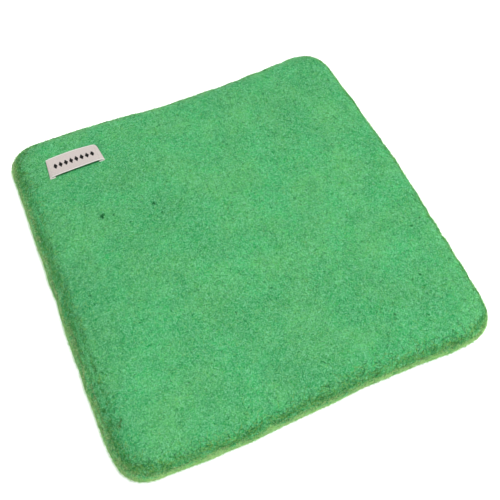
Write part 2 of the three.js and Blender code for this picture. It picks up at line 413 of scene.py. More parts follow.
def measure_outline(node, height):
    """How far the solid reaches from the middle, at one height, all the way round."""
    solid = BVHTree.FromBMesh(joined_copy(node))
    reaches = []
    for step in range(DIRECTIONS):
        turn = step * math.tau / DIRECTIONS
        way = Vector((math.cos(turn), math.sin(turn), 0))
        hit, _, _, _ = solid.ray_cast(way * FAR + Vector((0, 0, height)), -way)
        reaches.append(hit.xy.length)
    near = range(-AVERAGED, AVERAGED + 1)
    return [sum(reaches[(k + n) % DIRECTIONS] for n in near) / len(near) for k in range(DIRECTIONS)]


OUTLINE = measure_outline("top_felt_cover", WAIST)


def reach(turn):
    """The outline's distance from the middle in one direction, between the measured ones."""
    at = turn % math.tau * DIRECTIONS / math.tau
    low = int(at) % DIRECTIONS
    share = at - int(at)
    return OUTLINE[low] * (1 - share) + OUTLINE[(low + 1) % DIRECTIONS] * share


print("outline reaches", round(min(OUTLINE), 4), "to", round(max(OUTLINE), 4), "m")

# %% [markdown]
# ## Where the label lies
# The label presses the felt flat and keeps loose fibres from under it, so its place is needed before the
# felt is made. Its middle comes from its solid, and its turn and size are those the solid was made with.

# %% Label place
LABEL_LENGTH = 38 * MM
LABEL_HEIGHT = 15 * MM
LABEL_TURN = math.radians(0.8)
label_low, label_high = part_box("woven_label")
LABEL_MIDDLE = (label_low + label_high) / 2
LABEL_ALONG = Vector((math.cos(LABEL_TURN), math.sin(LABEL_TURN), 0))
LABEL_UP = Vector((-math.sin(LABEL_TURN), math.cos(LABEL_TURN), 0))


def from_label(place):
    """How far a place lies outside the label's edge, seen from above."""
    offset = place - LABEL_MIDDLE
    beyond_end = max(abs(offset.dot(LABEL_ALONG)) - LABEL_LENGTH / 2, 0)
    beyond_edge = max(abs(offset.dot(LABEL_UP)) - LABEL_HEIGHT / 2, 0)
    return math.hypot(beyond_end, beyond_edge)


print("label's middle, mm:", [round(c / MM, 1) for c in LABEL_MIDDLE])

# %% [markdown]
# ## The felt's unevenness
# Hand-felted wool has soft lumps where the batting was thicker, small clumps where fibres matted, and
# creases that run along the sides where the felt was rolled over the edge. Each is a noise of its own
# size. A few swells and dents round the sides have a place each, so they are a short list, and the left
# side slumps, as a used mat's does. Under the label the felt is pressed, and the unevenness fades.

# %% Relief
# Each is how far it stands out, then how wide it is
LUMP = (0.75 * MM, 34 * MM)
CLUMP = (0.22 * MM, 8.5 * MM)
GRAIN = (0.10 * MM, 2.2 * MM)
BULGE = (0.80 * MM, 21 * MM)
# A crease's depth, length and height, how sharp it is, and the middle and spread of the band it lies in
CREASE = (1.3 * MM, 18 * MM, 4.5 * MM)
CREASE_WIDTH = 0.20
CREASE_BAND = (15.5 * MM, 3.5 * MM)
# Direction and width in degrees, then how many mm the side stands out, or in where that is negative
DENTS = [
    (4, 22, 1.15), (44, 12, 0.4), (72, 7, -1.3), (88, 4, 0.9), (100, 4, -1.7), (132, 7, 0.7),
    (150, 7, -1.0), (178, 4, -1.1), (-140, 4, -1.45), (-110, 7, 0.8), (-44, 12, 1.0),
]
SLUMP = 4.8 * MM
SLUMP_FROM = -98 * MM
SLUMP_OVER = 26 * MM
SEAM_HEIGHT = 6.5 * MM
SEAM_DEPTH = 0.55 * MM
SEAM_WIDTH = 1.1 * MM
PRESSED_SHARE = 0.15
PRESSED_EDGE = 5 * MM


def ease(value):
    """A smooth step from 0 to 1."""
    value = min(max(value, 0.0), 1.0)
    return value * value * (3 - 2 * value)


def crevice(place, sideways):
    """How deep in a crease a place lies, 0 to 1: creases run along the sides, below the top."""
    stretched = Vector((place.x / CREASE[1], place.y / CREASE[1], place.z / CREASE[2]))
    band = math.exp(-(((place.z - CREASE_BAND[0]) / CREASE_BAND[1]) ** 2))
    return math.exp(-((noise.noise(stretched) / CREASE_WIDTH) ** 2)) * band * sideways


def dented(place):
    """How far the side stands out in this direction, for all the swells and dents together."""
    turn = math.degrees(math.atan2(place.y, place.x))
    away = [((turn - middle + 180) % 360 - 180, width, depth * MM) for middle, width, depth in DENTS]
    return sum(depth * math.exp(-((off / width) ** 2)) for off, width, depth in away)


def relief(place, sideways):
    """How far the felt stands out at a place; sideways is 1 on the sides and 0 on the flats."""
    lumps = LUMP[0] * noise.noise(place / LUMP[1])
    clumps = CLUMP[0] * noise.noise(place / CLUMP[1])
    grain = GRAIN[0] * noise.turbulence(place / GRAIN[1], 2, True)
    bulges = (BULGE[0] * noise.noise(place / BULGE[1]) + dented(place)) * sideways
    creases = -CREASE[0] * crevice(place, sideways)
    seam = SEAM_DEPTH * math.exp(-(((place.z - SEAM_HEIGHT) / SEAM_WIDTH) ** 2)) * sideways
    slump = SLUMP * max((SLUMP_FROM - place.x) / SLUMP_OVER, 0.0) ** 2 * (1 - sideways)
    if place.z < WAIST:
        slump = 0.0
    free = PRESSED_SHARE + (1 - PRESSED_SHARE) * ease(from_label(place) / PRESSED_EDGE)
    return (lumps + clumps + grain + bulges + creases) * free - seam - slump


sample = [relief(Vector((x * MM, 0, 23 * MM)), 0) / MM for x in range(-100, 100, 5)]
print("relief on the top runs from", round(min(sample), 2), "to", round(max(sample), 2), "mm")

# %% [markdown]
# ## The mat's section
# Cut across, the mat has a flat, slightly crowned top and a round edge: a wide shoulder down to the waist
# and a tighter foot below it. Both are quarters of ellipses, so one angle, from 90 degrees at the top to
# -90 at the foot, names any place on the edge.

# %% Edge section
TOP_ROLL = 13 * MM
BASE_ROLL = 8 * MM
RIM_HEIGHT = 22 * MM
CROWN = 1.5 * MM
FELT_THICKNESS = 3 * MM
QUARTER = math.pi / 2
SEAM_ANGLE = -math.asin((WAIST - SEAM_HEIGHT) / WAIST)


def edge_section(angle, depth=0.0):
    """(inset, height) on the round edge, a depth inside it: 90 degrees is its top, -90 its foot."""
    roll = TOP_ROLL if angle >= 0 else BASE_ROLL
    rise = RIM_HEIGHT - WAIST if angle >= 0 else WAIST
    inset = roll - (roll - depth) * math.cos(angle)
    return inset, WAIST + (rise - depth) * math.sin(angle)


def on_ring(turn, inset, height):
    """A place on the ring that lies this far inside the outline."""
    radius = reach(turn) * (1 - inset / HALF_SIDE)
    return Vector((radius * math.cos(turn), radius * math.sin(turn), height))


def crowned(turn, share, flat_inset, height, crown):
    """A place on a flat, a share of the way out from its middle, which the crown lifts."""
    place = on_ring(turn, flat_inset, height)
    return Vector((place.x * share, place.y * share, height + crown * (1 - share * share)))


print("the seam lies", round(math.degrees(SEAM_ANGLE), 1), "degrees round the edge from the waist")

# %% [markdown]
# ## From a grid to a skin
# The skin could be a box with a bevel and a subdivision surface, but felt needs even, small faces all
# over, or its unevenness smears at the corners. So each skin starts as a square grid, and every ring of
# the grid is laid on a ring of the mat: the middle on the flat, the outer rings round the edge.

# %% Skin helpers
# How far past the label's edge the painted shadow under it fades
LABEL_SHADE = 0.6 * MM


def felt_skin(segments, flat_share, flat_inset, flat_height, crown, first_angle, last_angle):
    """The outer face of a skin: a grid whose middle is the flat and whose rings go round the edge."""
    bm = bmesh.new()
    bmesh.ops.create_grid(bm, x_segments=segments, y_segments=segments, size=1)
    for vert in bm.verts:
        out = max(abs(vert.co.x), abs(vert.co.y))
        turn = math.atan2(vert.co.y, vert.co.x)
        if out <= flat_share:
            vert.co = crowned(turn, out / flat_share, flat_inset, flat_height, crown)
        else:
            share = (out - flat_share) / (1 - flat_share)
            vert.co = on_ring(turn, *edge_section(first_angle + (last_angle - first_angle) * share))
    if last_angle > first_angle:
        bmesh.ops.reverse_faces(bm, faces=bm.faces)
    return bm


def roughen(bm):
    """Moves every point by the felt's relief, never below the table, and notes where shade is painted."""
    bm.normal_update()
    painted_shade_layer = bm.verts.layers.float.new("crevice")
    moves = []
    for vert in bm.verts:
        sideways = 1 - vert.normal.z * vert.normal.z
        moves.append(vert.normal * relief(vert.co, sideways))
        # Painted shadow under the label, and painted shade deep in creases
        label_shadow = 1 - ease(from_label(vert.co) / LABEL_SHADE)
        vert[painted_shade_layer] = max(crevice(vert.co, sideways), label_shadow * vert.normal.z)
    for vert, move in zip(bm.verts, moves):
        vert.co += move
        vert.co.z = max(vert.co.z, 0.0)


# %% [markdown]
# ## Giving a skin its thickness
# Solidify would do, but the relief would show inside too, where the core lies close. So the open rim is
# extruded inwards, ring by ring, along a smooth lining, and the last ring is merged to a point. Every
# finished piece is then shaded smooth and rides on the mat's one body.

# %% Closing helpers
LINING_SHARES = (0.6, 0.2)
INNER_ANGLES = [math.radians(a) for a in (0, 30, 60, 90)]


def draw_in(bm, rim, rings):
    """Extrudes an open rim through rings of (inset, height, share, crown), and merges the last one."""
    for inset, height, share, crown in rings:
        made = bmesh.ops.extrude_edge_only(bm, edges=rim)["geom"]
        rim = [item for item in made if isinstance(item, bmesh.types.BMEdge)]
        for vert in {v for edge in rim for v in edge.verts}:
            turn = math.atan2(vert.co.y, vert.co.x)
            vert.co = crowned(turn, share, inset, height, crown)
    last = list({v for edge in rim for v in edge.verts})
    bmesh.ops.pointmerge(bm, verts=last, merge_co=sum((v.co for v in last), Vector()) / len(last))


def open_rim(bm):
    """The edges round a mesh's open side."""
    return [edge for edge in bm.edges if edge.is_boundary]


def finish_piece(bm, name, material):
    """Makes a shaded object of a bmesh, which rides on the mat."""
    for face in bm.faces:
        face.smooth = True
    piece = new_object(name, bm)
    piece.data.materials.append(material)
    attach(piece, "root")
    print(name, "has", len(piece.data.polygons), "faces")
    return piece


# %% [markdown]
# ## The top skin
# A sheet of felt is laid over the core and rolled down its sides to the seam. It shows most, so its grid
# is the finer. Its lining follows the same edge, one felt's thickness in.

# %% Top skin
TOP_SEGMENTS = 288
TOP_FLAT_SHARE = 0.832

top = felt_skin(TOP_SEGMENTS, TOP_FLAT_SHARE, TOP_ROLL, RIM_HEIGHT, CROWN, QUARTER, SEAM_ANGLE)
top_rim = open_rim(top)
roughen(top)
top_lining = [edge_section(angle, FELT_THICKNESS) for angle in [SEAM_ANGLE, *INNER_ANGLES]]
ceiling = RIM_HEIGHT - FELT_THICKNESS
top_rings = [(inset, height, 1.0, 0.0) for inset, height in top_lining]
draw_in(top, top_rim, top_rings + [(TOP_ROLL, ceiling, share, CROWN) for share in LINING_SHARES])
top_felt = finish_piece(top, "top_felt", felt)
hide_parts("top_felt_cover")

# %% [markdown]
# ## The bottom skin
# This sheet lies on the table and turns up to the seam. Felt is lapped before it is needled together, so
# its rim goes on up inside the top skin as a lip, and no gap shows.

# %% Bottom skin
BOTTOM_SEGMENTS = 232
BOTTOM_FLAT_SHARE = 0.90
LAP_HEIGHT = 4 * MM
LAP_INSET = 1.65 * MM

bottom = felt_skin(
    BOTTOM_SEGMENTS, BOTTOM_FLAT_SHARE, BASE_ROLL, 0.0, 0.0, -QUARTER, SEAM_ANGLE
)
bottom_rim = open_rim(bottom)
roughen(bottom)
lip_foot = (LAP_INSET, SEAM_HEIGHT, 1.0, 0.0)
lip_top = (LAP_INSET, SEAM_HEIGHT + LAP_HEIGHT, 1.0, 0.0)
lip_inside = (FELT_THICKNESS, SEAM_HEIGHT + LAP_HEIGHT, 1.0, 0.0)
bottom_lining = [edge_section(-angle, FELT_THICKNESS) for angle in INNER_ANGLES]
bottom_rings = [(inset, height, 1.0, 0.0) for inset, height in bottom_lining]
floor_rings = [(BASE_ROLL, FELT_THICKNESS, share, 0.0) for share in LINING_SHARES]
draw_in(bottom, bottom_rim, [lip_foot, lip_top, lip_inside] + bottom_rings + floor_rings)
bottom_felt = finish_piece(bottom, "bottom_felt", felt)
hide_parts("bottom_felt_cover")

# %% [markdown]
# ## Loose wool on the felt
# Felt is never bald. Single fibres wander over it and dive back in, and others stand up as fuzz, which
# softens the outline. A hair system would do it, but hair has no mesh to hand on. So each fibre is a
# short line of a curve object, swept with a three-sided section, and the curve becomes one mesh. First
# come the places where each kind grows: by height, or by the way that the felt faces.

# %% Where fibres grow
LABEL_CLEAR = 0.8 * MM
TABLE_CLEAR = 1.2 * MM
SIDE_TILT = 0.8
# Heights between which a kind of wool grows
EDGE_WOOL = (9.5 * MM, 15.5 * MM)
RIM_WOOL = (7 * MM, 13 * MM)
ROLL_WOOL = (12.5 * MM, 18.5 * MM)
# Deep locks paint shade on the near sides: the way that the side locks face, how far towards it a place
# has to face, and how high it has to be
SHADE_SIDE = Vector((-0.5, -0.87, 0))
SHADE_TILT = (0.12, 0.6)
SHADE_ABOVE = 16 * MM
# Pale waist wool is painted light, so it thins out as the felt turns to face the shaded left, between these
# shares
LEFT_TILT = (0.2, 1.2)
SIDE_SEED = 29


def outer_spots(piece, count):
    """(middle, normal) of a skin's outer faces, which come first in its mesh, above the table."""
    spots = [(face.center.copy(), face.normal.copy()) for face in piece.data.polygons[:count]]
    return [spot for spot in spots if from_label(spot[0]) > LABEL_CLEAR and spot[0].z > TABLE_CLEAR]


def outer_tree(pieces):
    """A search tree of several skins, to find the nearest place on the felt."""
    bm = bmesh.new()
    for piece in pieces:
        bm.from_mesh(piece.data)
    tree = BVHTree.FromBMesh(bm)
    bm.free()
    return tree


def between(spots, low, high):
    """The spots that lie between two heights."""
    return [spot for spot in spots if low < spot[0].z < high]


felt_spots = outer_spots(top_felt, TOP_SEGMENTS**2) + outer_spots(bottom_felt, BOTTOM_SEGMENTS**2)
side_spots = [spot for spot in felt_spots if spot[1].z < SIDE_TILT]
edge_spots = between(felt_spots, *EDGE_WOOL)
roll_spots = between(felt_spots, *ROLL_WOOL)
other_spots = [spot for spot in felt_spots if not RIM_WOOL[0] < spot[0].z < RIM_WOOL[1]]
side_rng = random.Random(SIDE_SEED)
rim_spots = between(felt_spots, *RIM_WOOL)
painted_light_spots = [spot for spot in rim_spots if -spot[1].x < side_rng.uniform(*LEFT_TILT)]
facing = [spot for spot in felt_spots if spot[1].dot(SHADE_SIDE) > side_rng.uniform(*SHADE_TILT)]
shade_side_spots = [spot for spot in facing if spot[0].z > SHADE_ABOVE]
felt_tree = outer_tree([top_felt, bottom_felt])
print(len(felt_spots), "places for fibres,", len(side_spots), "of them on the sides")

# %% [markdown]
# ## Two kinds of fibre
# A lying fibre takes a step at a time: it turns a little, goes on along the felt, and rises and sinks
# by a sine, so that both its ends are buried. A standing one starts in the felt and curls away from it.

# %% Fibre walks
FIBRE_STEPS = 3
FIBRE_FLOOR = 0.1 * MM
FIBRE_CURL = 0.6
FIBRE_BURIED = 0.08 * MM
FIBRE_BEND = (0.1, 0.6)


def any_way(rng, normal):
    """A random way along the felt."""
    return normal.cross(Vector([rng.gauss(0, 1) for _ in range(3)])).normalized()


def turned(rng, normal, way):
    """A way along the felt, turned aside by a random angle."""
    way = Quaternion(normal, rng.gauss(0, FIBRE_CURL)) @ way
    return (way - normal * way.dot(normal)).normalized()


def lying_fibre(rng, spot, length, lift):
    """Points of a fibre that wanders over the felt and is buried at both ends."""
    place, normal = spot
    way = any_way(rng, normal)
    points = []
    for step in range(FIBRE_STEPS + 1):
        place, normal, _, _ = felt_tree.find_nearest(place)
        point = place + normal * (lift * math.sin(math.pi * step / FIBRE_STEPS) - FIBRE_BURIED)
        point.z = max(point.z, FIBRE_FLOOR)
        points.append(point)
        way = turned(rng, normal, way)
        place = place + way * (length / FIBRE_STEPS)
    return points


def standing_fibre(rng, spot, length, lift):
    """Points of a fibre that leaves the felt, the steeper the higher its lift, and curls over."""
    place, normal = spot
    way = (normal * lift + any_way(rng, normal)).normalized()
    bend = any_way(rng, normal) * rng.uniform(*FIBRE_BEND)
    place = place - normal * FIBRE_BURIED
    points = [place]
    for _ in range(FIBRE_STEPS):
        place = place + way * (length / FIBRE_STEPS)
        place.z = max(place.z, FIBRE_FLOOR)
        way = (way + bend).normalized()
        points.append(place)
    return points


print("a fibre has", FIBRE_STEPS + 1, "points")

# %% [markdown]
# ## From paths to a mesh
# The sweep gives every fibre the same UV map, with one of its directions along the fibre. A dye goes from
# a deeper root to a lighter tip, so a plain mix along that direction colours them all. The map is squeezed
# the other way: thousands of fibres lie on the same part of it, and baking wide faces takes long.

# %% Sweeping fibres
FIBRE_TAPER = [0.5, 1.0, 0.95, 0.35]
FIBRE_WELD = 0.001 * MM
MAP_WIDTH = 0.1


def section_of(sides, thickness):
    """A small closed ring, the section of a fibre."""
    curve = bpy.data.curves.new("section", "CURVE")
    ring = curve.splines.new("POLY")
    ring.points.add(sides - 1)
    ring.use_cyclic_u = True
    for k, point in enumerate(ring.points):
        turn = k * math.tau / sides
        point.co = (math.cos(turn) * thickness / 2, math.sin(turn) * thickness / 2, 0, 1)
    return bpy.data.objects.new("section", curve)


def narrow_map(bm):
    """Squeezes the UV map sideways, because a dye changes only along its fibre."""
    layer = bm.loops.layers.uv["OFBake"]
    for face in bm.faces:
        for corner in face.loops:
            across, along = corner[layer].uv
            corner[layer].uv = (across * MAP_WIDTH, along)


def swept(paths, section, taper):
    """A bmesh of all the paths, each swept with the section and closed at its ends."""
    curve = bpy.data.curves.new("fibres", "CURVE")
    curve.dimensions = "3D"
    curve.bevel_mode = "OBJECT"
    curve.bevel_object = section
    curve.use_fill_caps = True
    for points in paths:
        line = curve.splines.new("POLY")
        line.points.add(len(points) - 1)
        line.points.foreach_set("co", [c for point in points for c in (*point, 1.0)])
        line.points.foreach_set("radius", taper)
    drawn = bpy.data.objects.new("fibres", curve)
    scene.collection.objects.link(drawn)
    shape = drawn.evaluated_get(bpy.context.evaluated_depsgraph_get())
    mesh = bpy.data.meshes.new_from_object(shape)
    mesh.uv_layers[0].name = "OFBake"
    bm = bmesh.new()
    bm.from_mesh(mesh)
    bpy.data.objects.remove(drawn)
    bpy.data.objects.remove(section)
    bpy.data.meshes.remove(mesh)
    bmesh.ops.remove_doubles(bm, verts=bm.verts, dist=FIBRE_WELD)
    narrow_map(bm)
    return bm


def dyed_fibre(name, root, tip):
    """A fibre's finish, from its root's colour to its tip's."""
    material, shader, start = new_material(name)
    along = start.node("UVMap", {"uv_map": "OFBake"}).part("Y")
    feed(shader, Base_Color=along.mix(root, tip), Roughness=0.8)
    feed(shader, Specular_IOR_Level=0.15, Sheen_Weight=0.15, Sheen_Tint=tip)
    return material


def fibre_piece(name, paths, thickness, dye, taper=None, sides=3):
    """One piece of many fibres that share a dye, a pair of root and tip colours."""
    bm = swept(paths, section_of(sides, thickness), taper or FIBRE_TAPER)
    return finish_piece(bm, name, dyed_fibre(name, *dye))


# %% [markdown]
# ## The loose wool itself
# The fibres are sorted by the colour of their dye, one piece for each. Those that lie on the felt give
# it its fine worm-like grain, with longer, thicker ones that are pale at the waist, as painted light, and
# deep on the roll above it, as painted shade. Locks in a deep and a light green lie on the shoulder of
# the two near sides, where the deep ones are painted shade. Fuzz stands off the felt, pale straw just
# above the waist and paler on the sides: painted light, where light comes through it.

# %% Loose wool
LYING_COUNT = 8200
RIM_COUNT = 4100
FUZZ_COUNT = 9100
# How a kind of fibre walks, the lengths and lifts that it lies between, and how thick it is
LYING = (lying_fibre, (1.3 * MM, 3.6 * MM), (0.10 * MM, 0.34 * MM), 0.19 * MM)
LOCKS = (lying_fibre, (2.4 * MM, 7.0 * MM), (0.10 * MM, 0.34 * MM), 0.25 * MM)
FUZZ = (standing_fibre, (0.8 * MM, 2.8 * MM), (0.3, 1.2), 0.10 * MM)
# Each piece's kind, seed, number of fibres and places, and the colours of their roots and tips
WOOL = {
    "lying_wool_teal": (LYING, 0, LYING_COUNT, other_spots, srgb(10, 102, 43), srgb(26, 128, 60)),
    "lying_wool_leaf": (LYING, 1, LYING_COUNT, other_spots, srgb(108, 206, 122), srgb(140, 226, 148)),
    "lying_wool_pale": (LYING, 2, LYING_COUNT, other_spots, srgb(148, 236, 184), srgb(188, 249, 214)),
    "lying_wool_lime": (LYING, 3, LYING_COUNT, other_spots, srgb(138, 218, 130), srgb(176, 236, 160)),
    # Painted light: pale locks at the waist
    "lying_wool_rim_painted_light": (LOCKS, 4, RIM_COUNT, painted_light_spots, srgb(164, 226, 132), srgb(212, 244, 174)),
    # Painted shade: deep green locks darken the roll above the waist
    "lying_wool_roll_painted_shade": (LOCKS, 5, RIM_COUNT, roll_spots, srgb(62, 144, 66), srgb(108, 188, 102)),
    # Painted shade: deep locks on the near sides' shoulders
    "side_locks_painted_shade": (LOCKS, 31, 950, shade_side_spots, srgb(34, 104, 48), srgb(62, 138, 70)),
    "side_locks_light": (LOCKS, 32, 600, shade_side_spots, srgb(128, 188, 92), srgb(168, 216, 124)),
    "fuzz_side_leaf": (FUZZ, 6, FUZZ_COUNT, side_spots, srgb(96, 196, 104), srgb(150, 226, 138)),
    "fuzz_side_lime": (FUZZ, 7, FUZZ_COUNT, side_spots, srgb(150, 220, 118), srgb(206, 242, 162)),
    # Painted light: near-white fuzz above the waist, for light coming through it
    "fuzz_edge_painted_light": (FUZZ, 8, FUZZ_COUNT, edge_spots, srgb(206, 236, 160), srgb(248, 254, 220)),
    "fuzz_top_pale": (FUZZ, 9, FUZZ_COUNT, felt_spots, srgb(116, 206, 136), srgb(156, 230, 168)),
}

for name, (kind, seed, count, spots, root, tip) in WOOL.items():
    walk, lengths, lifts, thickness = kind
    rng = random.Random(seed)
    paths = [walk(rng, rng.choice(spots), rng.uniform(*lengths), rng.uniform(*lifts)) for _ in range(count)]
    fibre_piece(name, paths, thickness, (root, tip))

# %% [markdown]
# ## Neps and a wisp
# Here and there a few dark fibres have knotted into a nep, a speck that carding missed, and one olive wisp
# was felted in near the front left corner. Each is a small tangle of short fibres. They are few and each
# has its own place, so the places are a short list.

# %% Neps
NEP_SEED = 11
NEP_FIBRES = 34
NEP_SPREAD = 0.25
NEP_FIBRE_LENGTH = (0.6, 1.7)
NEP_FIBRE_LIFT = (0.15 * MM, 0.50 * MM)
NEP_THICKNESS = 0.20 * MM
NEP_DYE = (srgb(18, 100, 50), srgb(34, 128, 68))
# A nep's place and width in mm, and how many of the usual number of fibres it has
NEPS = [
    ((-80.0, 45.8, 23.0), 2.0, 1.05), ((-44.9, 41.2, 23.2), 1.2, 0.7), ((-41.8, 32.5, 23.2), 0.8, 0.3),
    ((-72.4, 44.0, 23.0), 1.0, 0.3), ((-26.0, -54.5, 23.0), 0.8, 0.4), ((-105.5, -6.0, 22.3), 0.8, 0.4),
    ((107.4, -44.2, 22.3), 1.0, 0.35), ((115.8, -40.6, 21.8), 1.0, 0.3), ((93.9, -77.6, 22.3), 1.0, 0.35),
    ((65.1, -95.4, 22.3), 1.0, 0.4), ((-122.8, -77.8, 19.5), 1.0, 0.4),
]
WISP = ((-115.1, -90.2, 21.0), 3.5, 0.6)
WISP_DYE = (srgb(84, 118, 56), srgb(108, 138, 72))


def nep_fibres(rng, middle, width, fullness):
    """Short fibres tangled round one place on the felt, the more of them the fuller the nep."""
    width = width * MM
    spread = width * NEP_SPREAD
    paths = []
    for _ in range(round(NEP_FIBRES * fullness)):
        aside = Vector((rng.gauss(0, spread), rng.gauss(0, spread), 0))
        place, normal, _, _ = felt_tree.find_nearest(Vector(middle) * MM + aside)
        length = width * rng.uniform(*NEP_FIBRE_LENGTH)
        paths.append(lying_fibre(rng, (place, normal), length, rng.uniform(*NEP_FIBRE_LIFT)))
    return paths


nep_rng = random.Random(NEP_SEED)
nep_paths = [path for nep in NEPS for path in nep_fibres(nep_rng, *nep)]
fibre_piece("dark_neps", nep_paths, NEP_THICKNESS, NEP_DYE)
fibre_piece("olive_wisp", nep_fibres(nep_rng, *WISP), NEP_THICKNESS, WISP_DYE)

# %% [markdown]
# ## The wool core's finish
# Inside are layers of undyed carded wool, laid on each other and needled together. Carding combs the
# fibres one way, so the noise is stretched: its scale is small along the fibres and large across them.

# %% Carded wool finish
WOOL_CREAM = srgb(238, 230, 210)
WOOL_SHADE = srgb(205, 190, 162)
STAPLES_PER_M = (60, 420, 900)
STAPLE_RAMP = (0.35, 0.7)
WOOL_BUMP = {"Strength": 0.5, "Distance": 0.4 * MM}


def carded_wool():
    """Cream wool, combed one way, with darker gaps between its staples."""
    material, shader, start = new_material("carded_wool")
    place = start.node("TexCoord", out="Object")
    combed = start.node("Mapping", None, {"Vector": place, "Scale": STAPLES_PER_M})
    staples = wool_noise(start, combed, 1.0, detail=4.0, warp=0.6)
    colour = staples.step(*STAPLE_RAMP).mix(WOOL_SHADE, WOOL_CREAM)
    normal = start.node("Bump", None, {**WOOL_BUMP, "Height": staples})
    feed(shader, Base_Color=colour, Roughness=0.9, Normal=normal)
    feed(shader, Specular_IOR_Level=0.1, Sheen_Weight=0.2, Sheen_Roughness=0.5)
    return material


cream_wool = carded_wool()
print("wool finish has", len(cream_wool.node_tree.nodes), "nodes")

# %% [markdown]
# ## The batts
# Nobody sees the layers until the mat is cut, so they are simple: a grid for each layer's top, whose edge
# falls away, drawn in below. The outline is measured from the layer's own solid, and the wool only ever
# shrinks from it. The top layer alone is crowned, because it fills the crown of the skin.

# %% Wool batts
BATT_NODES = sorted(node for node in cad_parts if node.startswith("core_batt"))
BATT_SEGMENTS = 72
BATT_EDGE = 2.2 * MM
BATT_SLACK = 0.25 * MM
BATT_WAVE = 9 * MM


def wool_batt(node, material):
    """One layer of carded wool, a little slack inside its solid."""
    low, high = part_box(node)
    middle = (low.z + high.z) / 2
    share = min(a / b for a, b in zip(measure_outline(node, middle), OUTLINE))
    rim_inset = (1 - share) * HALF_SIDE + BATT_SLACK
    crown = CROWN if node == BATT_NODES[-1] else 0.0
    bm = bmesh.new()
    bmesh.ops.create_grid(bm, x_segments=BATT_SEGMENTS, y_segments=BATT_SEGMENTS, size=1)
    edge_share = 1 - BATT_EDGE / HALF_SIDE
    top_height = high.z - crown - BATT_SLACK
    for vert in bm.verts:
        out = max(abs(vert.co.x), abs(vert.co.y))
        turn = math.atan2(vert.co.y, vert.co.x)
        place = crowned(turn, out, rim_inset, top_height, crown)
        fallen = ease((out - edge_share) / (1 - edge_share)) * (top_height - middle)
        slack = BATT_SLACK * (0.5 + 0.5 * noise.noise(place / BATT_WAVE))
        vert.co = place - Vector((0, 0, fallen + slack))
    foot = low.z + BATT_SLACK
    rings = [(rim_inset + BATT_EDGE, foot, part, 0.0) for part in (1.0, *LINING_SHARES)]
    draw_in(bm, open_rim(bm), rings)
    batt = finish_piece(bm, node.replace("core", "wool"), material)
    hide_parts(node)


for node in BATT_NODES:
    wool_batt(node, cream_wool)

# %% [markdown]
# ## The woven label's finish
# A stock label is a narrow ribbon, cut and folded under at both ends. It starts as one flat grid, so its
# UV map is the flat ribbon, in which the weave is two crossed sines. The motif is woven too: snapping its
# coordinates to whole threads gives each lozenge the stepped edge that a loom would.

# %% Label finish
THREAD_PITCH = 0.34 * MM
WEFT_RATIO = 1.3
RIBBON_WHITE = srgb(234, 224, 218)
RIBBON_SHADE = srgb(204, 192, 187)
SELVEDGE_WHITE = srgb(252, 252, 244)
MOTIF_INK = srgb(14, 14, 16)
WEAVE_SHARE = 0.35
SLUBS_SHARE = 0.45
SLUBS_ALONG = 42.0
SLUBS_RAMP = (0.35, 0.75)
SELVEDGE = 0.7 * MM
SELVEDGE_SHARE = 0.8
SELVEDGE_BUMP = 0.6
MOTIF_PITCH = 3.8 * MM
MOTIF_WIDTH = 3.0 * MM
MOTIF_HEIGHT = 4.8 * MM
MOTIF_COUNT = 8
MOTIF_SHARE = 0.98
RIBBON_BUMP = {"Strength": 0.5, "Distance": 0.08 * MM}
RIBBON_ROUGH = 0.62
SLUBS_ROUGH = 0.15
FOLD_RADIUS = 0.20 * MM
FOLD_TAB = 3.4 * MM
FACE_HALF = LABEL_LENGTH / 2 - FOLD_RADIUS
RIBBON_LENGTH = 2 * (FACE_HALF + math.pi * FOLD_RADIUS + FOLD_TAB)


def lozenges(start, along, across):
    """1 inside a row of lozenges, stepped from thread to thread, and 0 outside."""
    thread_x = start.math("SNAP", along + THREAD_PITCH / 2, THREAD_PITCH)
    thread_y = start.math("SNAP", abs(across) + THREAD_PITCH / 2, THREAD_PITCH)
    from_middle = start.math("PINGPONG", thread_x + MOTIF_PITCH / 2, MOTIF_PITCH / 2)
    from_edge = from_middle * (2 / MOTIF_WIDTH) + thread_y * (2 / MOTIF_HEIGHT)
    in_row = start.math("LESS_THAN", abs(along), MOTIF_PITCH * MOTIF_COUNT / 2)
    return start.math("LESS_THAN", from_edge, 1.0) * in_row


def woven_ribbon():
    """Fine off-white ribbon with a firm selvedge and a row of small dark lozenges woven in."""
    material, shader, start = new_material("woven_ribbon")
    flat = start.node("UVMap", {"uv_map": "OFBake"})
    along = (flat.part("X") - 0.5) * RIBBON_LENGTH
    across = (flat.part("Y") - 0.5) * LABEL_HEIGHT
    warp = start.math("SINE", across * (math.tau / THREAD_PITCH))
    weft = start.math("SINE", along * (math.tau / THREAD_PITCH / WEFT_RATIO))
    weave = warp * weft * 0.5 + 0.5
    slubs = wool_noise(start, flat, SLUBS_ALONG, detail=3.0, warp=0.4)
    worn = weave * WEAVE_SHARE + slubs.step(*SLUBS_RAMP) * SLUBS_SHARE
    colour = worn.mix(RIBBON_WHITE, RIBBON_SHADE)
    edge = start.math("GREATER_THAN", abs(across), LABEL_HEIGHT / 2 - SELVEDGE)
    colour = (edge * SELVEDGE_SHARE).mix(colour, SELVEDGE_WHITE)
    colour = (lozenges(start, along, across) * MOTIF_SHARE).mix(colour, MOTIF_INK)
    bumps = weave + edge * SELVEDGE_BUMP
    normal = start.node("Bump", None, {**RIBBON_BUMP, "Height": bumps})
    feed(shader, Base_Color=colour, Roughness=RIBBON_ROUGH + slubs * SLUBS_ROUGH, Normal=normal)
    feed(shader, Specular_IOR_Level=0.05)
    return material


ribbon = woven_ribbon()
print("the ribbon is", round(RIBBON_LENGTH / MM, 1), "mm long before it is folded")

